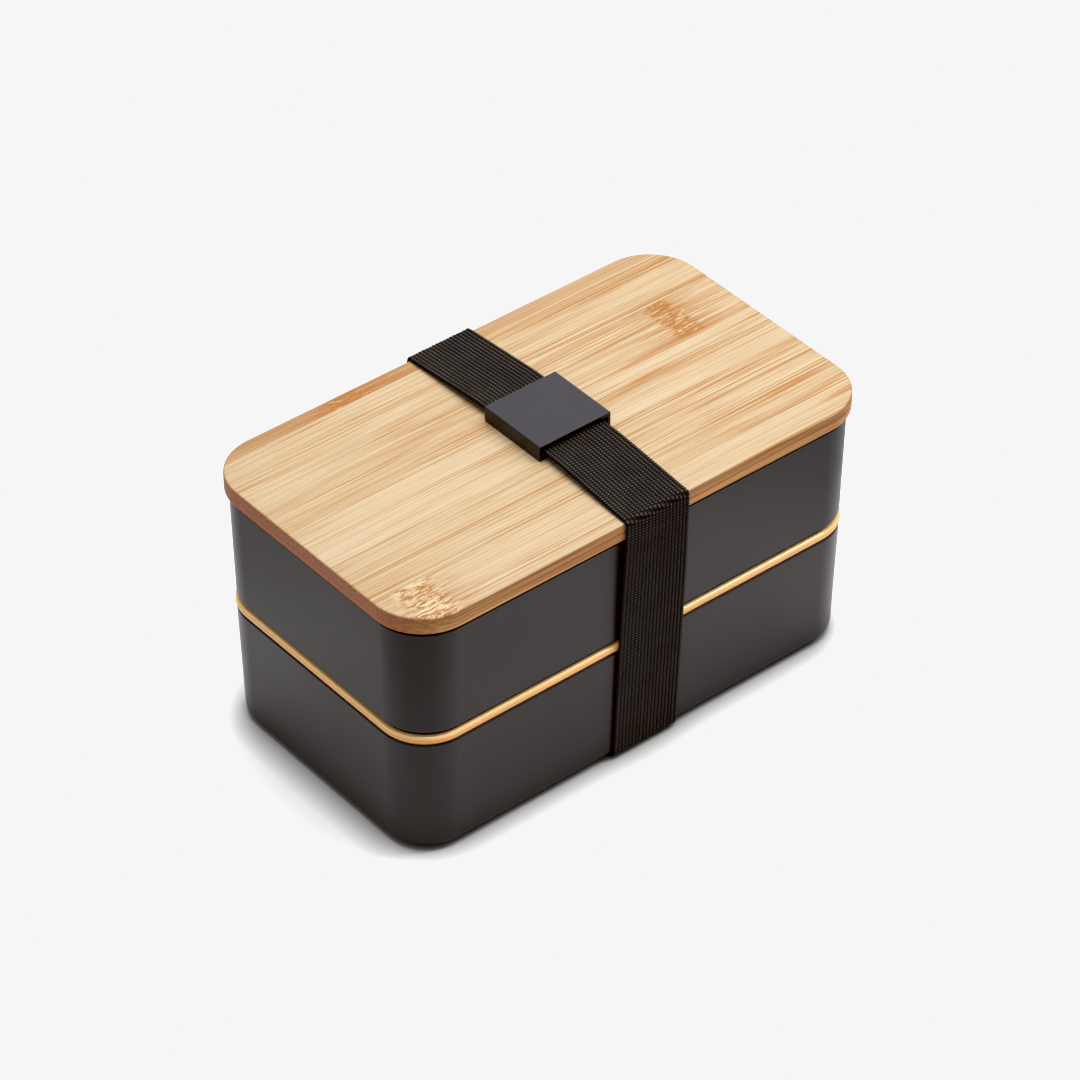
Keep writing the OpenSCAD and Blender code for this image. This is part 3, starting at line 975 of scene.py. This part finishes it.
def bandLayout():
    # Middle line, half width and outward direction at every row.
    side = np.where(bandY < 0, 0, 1)
    rise = (bandZ - bandFootZ) / (lidBottomZ - bandFootZ)
    footY, sliderY, lidEdgeY = band["footY"], band["sliderY"], band["lidEdgeY"]
    foot = np.interp(bandY, [-footY, footY], [band["nearLine"][0], band["farLine"][0]])
    nearSide = np.interp(rise, [0, 1], band["nearLine"])
    farSide = np.interp(rise, [0, 1], band["farLine"])
    over = np.interp(bandY, [-lidEdgeY, -sliderY, sliderY, lidEdgeY],
                     [band["nearLine"][1], band["sliderLine"], band["sliderLine"], band["farLine"][1]])
    middle = np.where(side == 0, nearSide, farSide)
    middle = np.where(rise < 0.01, foot, middle)
    onTop = bandZ > lidTopZ
    middle = np.where(onTop, over, middle)
    width = np.interp(rise, [band["wideTo"], 1], [band["sideWidth"], band["lidWidth"]])
    overWidth = np.interp(np.abs(bandY), [sliderY, lidEdgeY], [band["sliderWidth"], band["lidWidth"]])
    width = np.where(onTop, overWidth, width)
    middle = smoothed(middle, band["smoothRows"])
    width = smoothed(width, band["smoothRows"])
    stepY = np.roll(bandY[:-1], -1) - np.roll(bandY[:-1], 1)
    stepZ = np.roll(bandZ[:-1], -1) - np.roll(bandZ[:-1], 1)
    stepY = np.append(stepY, stepY[0])
    stepZ = np.append(stepZ, stepZ[0])
    length = np.hypot(stepY, stepZ)
    return middle, width / 2, -stepZ / length, stepY / length


bandMiddle, bandHalf, bandOutY, bandOutZ = bandLayout()


def bandMesh(name, runs, everyRow=1):
    ribs, columns = band["ribs"], band["ribColumns"]
    outer = ribs * columns + 1
    position = np.arange(outer) / columns
    within = 2 * (position - np.floor(position)) - 1
    ridge = np.sqrt(np.clip(1 - within ** 2, 0, 1))
    ribNumber = np.minimum(np.floor(position), ribs - 1)
    acrossOuter = position / ribs * 2 - 1
    acrossInner = np.linspace(1, -1, band["innerColumns"]) * band["innerReach"]
    verts, faces, uvs = [], [], []
    start = 0
    for first, last in runs:
        rows = list(range(first, last + 1, everyRow))
        if rows[-1] != last:
            rows.append(last)
        rows = np.array(rows)
        at = rows % bandRows
        phase = 2 * np.pi * bandAlong[at] / band["beadPitch"]
        ahead = 2 * np.pi * weaveLook["beadStep"] * ribNumber
        bead = 0.5 + 0.5 * np.cos(phase[:, None] + ahead[None, :])
        worn = 1 - band["beadDepth"] + band["beadDepth"] * bead
        height = band["thickness"] + band["ribHeight"] * ridge[None, :] * worn
        tooth = band["toothDepth"] * (0.5 + 0.5 * np.cos(phase)) / bandHalf[at]
        height[:, 0] = height[:, -1] = band["thickness"] * band["edgeHeight"]
        across = np.concatenate([
            np.broadcast_to(acrossOuter * band["ribReach"], (len(rows), outer)),
            (1 + tooth)[:, None],
            np.broadcast_to(acrossInner, (len(rows), band["innerColumns"])),
            -(1 + tooth)[:, None],
        ], axis=1)
        lift = np.concatenate([
            height,
            np.full((len(rows), 1), band["thickness"] * 0.5),
            np.zeros((len(rows), band["innerColumns"])),
            np.full((len(rows), 1), band["thickness"] * 0.5),
        ], axis=1)
        x = bandMiddle[at][:, None] + across * bandHalf[at][:, None]
        y = bandY[at][:, None] + bandOutY[at][:, None] * lift
        z = bandZ[at][:, None] + bandOutZ[at][:, None] * lift
        count = across.shape[1]
        verts.append(np.stack([x, y, z], axis=2).reshape(-1, 3))
        ribCount = np.clip((across + 1) / 2, 0.001, 0.999) * ribs
        stitchCount = np.broadcast_to((bandAlong[at] / band["beadPitch"])[:, None], x.shape)
        uvs.append(np.stack([ribCount, stitchCount], axis=2).reshape(-1, 2))
        grid = start + np.arange(len(rows) * count).reshape(len(rows), count)
        here, onward = grid[:-1], grid[1:]
        quads = np.stack([
            here, np.roll(here, -1, axis=1), np.roll(onward, -1, axis=1), onward,
        ], axis=2).reshape(-1, 4)
        faces.extend(quads.tolist())
        faces.append(grid[0][::-1].tolist())
        faces.append(grid[-1].tolist())
        start += len(rows) * count
    points = np.concatenate(verts) * mm
    mesh = bpy.data.meshes.new(name)
    mesh.from_pydata(points.tolist(), [], faces)
    layer = mesh.uv_layers.new(name="weave")
    corners = np.zeros(len(mesh.loops), np.int32)
    mesh.loops.foreach_get("vertex_index", corners)
    layer.data.foreach_set("uv", np.concatenate(uvs)[corners].astype(np.float32).ravel())
    return mesh


def rowAt(height, side):
    # Row where the band passes a height on the near (-1) or the far (1) side.
    onSide = np.where((np.sign(bandY) == side) & (np.abs(bandY) > 40))[0]
    return int(onSide[np.argmin(np.abs(bandZ[onSide] - height))])


def sideRuns(low, high):
    return [(rowAt(low, -1), rowAt(high, -1)), (rowAt(high, 1), rowAt(low, 1))]


def bandPiece(name, runs, nodes, body=None, between=None, everyRow=1):
    mesh = bandMesh(name, runs, everyRow)
    piece = newPiece(name, mesh, elasticWeave, nodes, body, weighted=False)
    if between:
        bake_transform(piece)
    return piece


ringLowZ = nodeBox("band_ring")[0].z
ringHighZ = nodeBox("band_ring")[1].z
highTopZ = nodeBox("band_high")[1].z
footZ = band["stretchFoot"]
middleZ = band["stretchMiddle"]
bandPiece("bandUnder", [(rowAt(footZ, 1), rowAt(footZ, -1) + bandRows)], ["band_under"],
          between=("band_under", "band_low", bandFootZ, footZ), everyRow=2)
bandPiece("bandLow", sideRuns(footZ, ringLowZ), ["band_low"],
          between=("band_low", "band_ring", footZ + 1, ringLowZ))
bandPiece("bandRing", sideRuns(ringLowZ, ringHighZ), ["band_ring"], "band_ring")
bandPiece("bandHighLower", sideRuns(ringHighZ, middleZ), ["band_high"],
          between=("band_ring", "band_high", ringHighZ, middleZ - 1))
bandPiece("bandHighUpper", sideRuns(middleZ, highTopZ), ["band_high"],
          between=("band_high", "band_top", middleZ + 1, highTopZ))
bandPiece("bandTop", [(rowAt(highTopZ, -1), rowAt(highTopZ, 1))], ["band_top"], "band_top")

join = {
    "rows": 4,
    "stitchLength": 1.9,
    "threadRadius": 0.16,
    "pitch": 2.6,
    "rim": 4.0,  # from the outer rows to the ends of the lap, both ends together
    "plainStitch": 1.6,  # length of the plain stitches that these stand in for
    "sink": 0.15,  # a stitch's ends lie this far under the surface
    "arch": 0.22,
    "threadSides": 8,
    "threadSteps": 8,
    "lap": 0.12,  # the join goes this far down between the ribs
}


def joinMesh():
    low, high = nodeBox("band_join")
    made = bmesh.new()
    addBox(made, (low.x, low.y, low.z - join["lap"]), (high.x, high.y, high.z))
    return meshFrom("bandJoin", made)


def stitchMesh():
    # Each stitch is a thread that comes up, runs across and goes down again.
    low, high = nodeBox("join_stitches")
    joinLow, joinHigh = nodeBox("band_join")
    made = bmesh.new()
    rowGap = (joinHigh.y - joinLow.y - join["rim"]) / (join["rows"] - 1)
    perRow = int((high.x - low.x - join["plainStitch"]) / join["pitch"] + 0.5) + 1
    firstX = (low.x + high.x) / 2 - (perRow - 1) * join["pitch"] / 2
    radius, sides, steps = join["threadRadius"], join["threadSides"], join["threadSteps"]
    for row in range(join["rows"]):
        rowY = (row - (join["rows"] - 1) / 2) * rowGap
        for k in range(perRow):
            loops = []
            for step in range(steps + 1):
                share = step / steps
                x = firstX + k * join["pitch"] + (share - 0.5) * join["stitchLength"]
                z = joinHigh.z - join["sink"] + join["arch"] * math.sin(math.pi * share)
                thin = radius * (0.75 + 0.25 * math.sin(math.pi * share))
                loop = []
                for a in np.arange(sides) * 2 * math.pi / sides:
                    y, up = rowY + thin * math.cos(a), z + thin * math.sin(a)
                    loop.append(made.verts.new((x * mm, y * mm, up * mm)))
                loops.append(loop)
            for before, after in zip(loops, loops[1:]):
                for side in range(sides):
                    far = (side + 1) % sides
                    made.faces.new((before[side], after[side], after[far], before[far]))
            made.faces.new(loops[0])
            made.faces.new(loops[-1])
    return meshFrom("joinStitches", made)


newPiece("bandJoin", joinMesh(), elasticWeave, ["band_join"], "band_top", softEdge=0.25)
newPiece("joinStitches", stitchMesh(), sewingThread, ["join_stitches"], "band_top")

print("scene: slider")
slider = {
    "wall": 1.2,
    "roof": 1.3,
    "edgeRound": 0.22,
    "plateRound": 0.3,
    "tunnelRound": 0.5,
}


def sliderMesh():
    low, high = nodeBox("slider_cover")
    inner = high.z - slider["roof"]
    left, right = low.x + slider["wall"], high.x - slider["wall"]
    tunnel = rounded([
        (left, low.z, 0), (left, inner, slider["tunnelRound"]), (right, inner, slider["tunnelRound"]),
        (right, low.z, 0),
    ], 4)
    outline = [(low.x, low.z), (low.x, high.z), (high.x, high.z), (high.x, low.z)] + tunnel[::-1]
    return extrudedMesh("sliderCover", outline, 1, low.y, high.y)


def plateMesh():
    low, high = nodeBox("slider_plate")
    made = bmesh.new()
    addBox(made, low, high)
    return meshFrom("sliderPlate", made)


newPiece("sliderCover", sliderMesh(), sliderPlastic, ["slider_cover"], "slider",
         softEdge=slider["edgeRound"])
newPiece("sliderPlate", plateMesh(), sliderPlastic, ["slider_plate"], "slider",
         softEdge=slider["plateRound"])

print("scene: studio")
studio = {
    "floorSize": 9.0,  # metres
    "floorColour": (0.90, 0.90, 0.90),
    "contactReach": 11.0,  # the extra shade starts this far from what stands on the floor
    "contactPower": 1.35,
    # A painted shade: the floor's colour is darker in a ring round the box, standing in for the lamps'
    # light falling off; it is seen in the trays' reflections and faintly from low angles.
    "paintedShadeRing": {"from": 125, "full": 188, "share": 0.50, "until": 250, "gone": 450},
    "skyStrength": 0.60,
    "skyColour": (1.0, 0.985, 0.97),
    "whiteLimit": 0.922,  # anything brighter is shown as this pale grey
    "blackLevel": (0.0, 0.0032, 0.0042),  # keeps the deepest shades warm
}
lamps = {  # places and sizes in metres, power in watts
    "overhead": {"place": (0.05, 0.0, 0.72), "size": 0.55, "power": 9.6},
    "key": {"place": (0.50, -0.36, 0.70), "size": 0.20, "power": 3.4},
    "back": {"place": (0.45, 0.55, 0.58), "size": 0.75, "power": 2.9},
}


def makeFloor():
    made = bmesh.new()
    bmesh.ops.create_grid(made, x_segments=1, y_segments=1, size=studio["floorSize"] / 2)
    floor = bpy.data.objects.new("floor", meshFrom("floor", made))
    bpy.context.scene.collection.objects.link(floor)
    material, tree, finish = startMaterial("paleFloor", Roughness=0.9)
    # A little extra shade where something stands close to the floor.
    reach = studio["contactReach"] * mm
    bright = put(tree, "AmbientOcclusion", {"Distance": reach}, samples=12).outputs["AO"]
    bright = maths(tree, "POWER", bright, studio["contactPower"])
    fromMiddle = put(tree, "VectorMath", {0: millimetres(tree)}, operation="LENGTH").outputs["Value"]
    # Painted shade: a darker ring in the floor's colour round the box.
    ring = studio["paintedShadeRing"]
    inward = spread(tree, fromMiddle, ring["from"], ring["full"], 1.0, ring["share"])
    outward = spread(tree, fromMiddle, ring["until"], ring["gone"])
    bright = maths(tree, "MULTIPLY", bright, maths(tree, "MAXIMUM", inward, outward))
    colour = blendColour(tree, bright, (0.0, 0.0, 0.0), studio["floorColour"])
    tree.links.new(colour, finish.inputs["Base Color"])
    finish.inputs["Specular IOR Level"].default_value = 0.0
    floor.data.materials.append(material)


def makeSky():
    world = bpy.data.worlds.new("softRoom")
    bpy.context.scene.world = world
    world.use_nodes = True
    sky = world.node_tree.nodes["Background"]
    sky.inputs["Color"].default_value = (*studio["skyColour"], 1)
    sky.inputs["Strength"].default_value = studio["skyStrength"]


def makeLamp(name, look):
    lamp = bpy.data.objects.new(name, bpy.data.lights.new(name, "AREA"))
    lamp.data.energy = look["power"]
    lamp.data.size = look["size"]
    lamp.location = look["place"]
    lamp.rotation_mode = "QUATERNION"
    lamp.rotation_quaternion = (lamp.location - Vector((0, 0, 0.05))).to_track_quat("Z", "Y")
    lamp.visible_camera = False
    bpy.context.scene.collection.objects.link(lamp)


makeFloor()
makeSky()
for name, look in lamps.items():
    makeLamp(name, look)
film = bpy.context.scene.view_settings
film.view_transform = "Standard"
film.use_curve_mapping = True
film.curve_mapping.extend = "HORIZONTAL"
film.curve_mapping.curves[3].points[1].location = (studio["whiteLimit"], studio["whiteLimit"])
film.curve_mapping.black_level = studio["blackLevel"]
film.curve_mapping.update()

view = {
    "azimuth": -39.46,
    "elevation": 39.2,
    "distance": 1481,
    "lens": 156.2,
    "sensor": 36,
    "aim": (0.0, 0.53, 51.3),
}


def makeCamera():
    data = bpy.data.cameras.new("camera")
    data.lens = view["lens"]
    data.sensor_width = view["sensor"]
    data.clip_start = 0.05
    data.clip_end = 30
    camera = bpy.data.objects.new("camera", data)
    turn, rise = math.radians(view["azimuth"]), math.radians(view["elevation"])
    back = Vector((math.sin(turn) * math.cos(rise), -math.cos(turn) * math.cos(rise), math.sin(rise)))
    camera.location = (Vector(view["aim"]) + back * view["distance"]) * mm
    camera.rotation_mode = "QUATERNION"
    camera.rotation_quaternion = (-back).to_track_quat("-Z", "Y")
    bpy.context.scene.collection.objects.link(camera)
    bpy.context.scene.camera = camera


makeCamera()

bpy.context.view_layer.update()
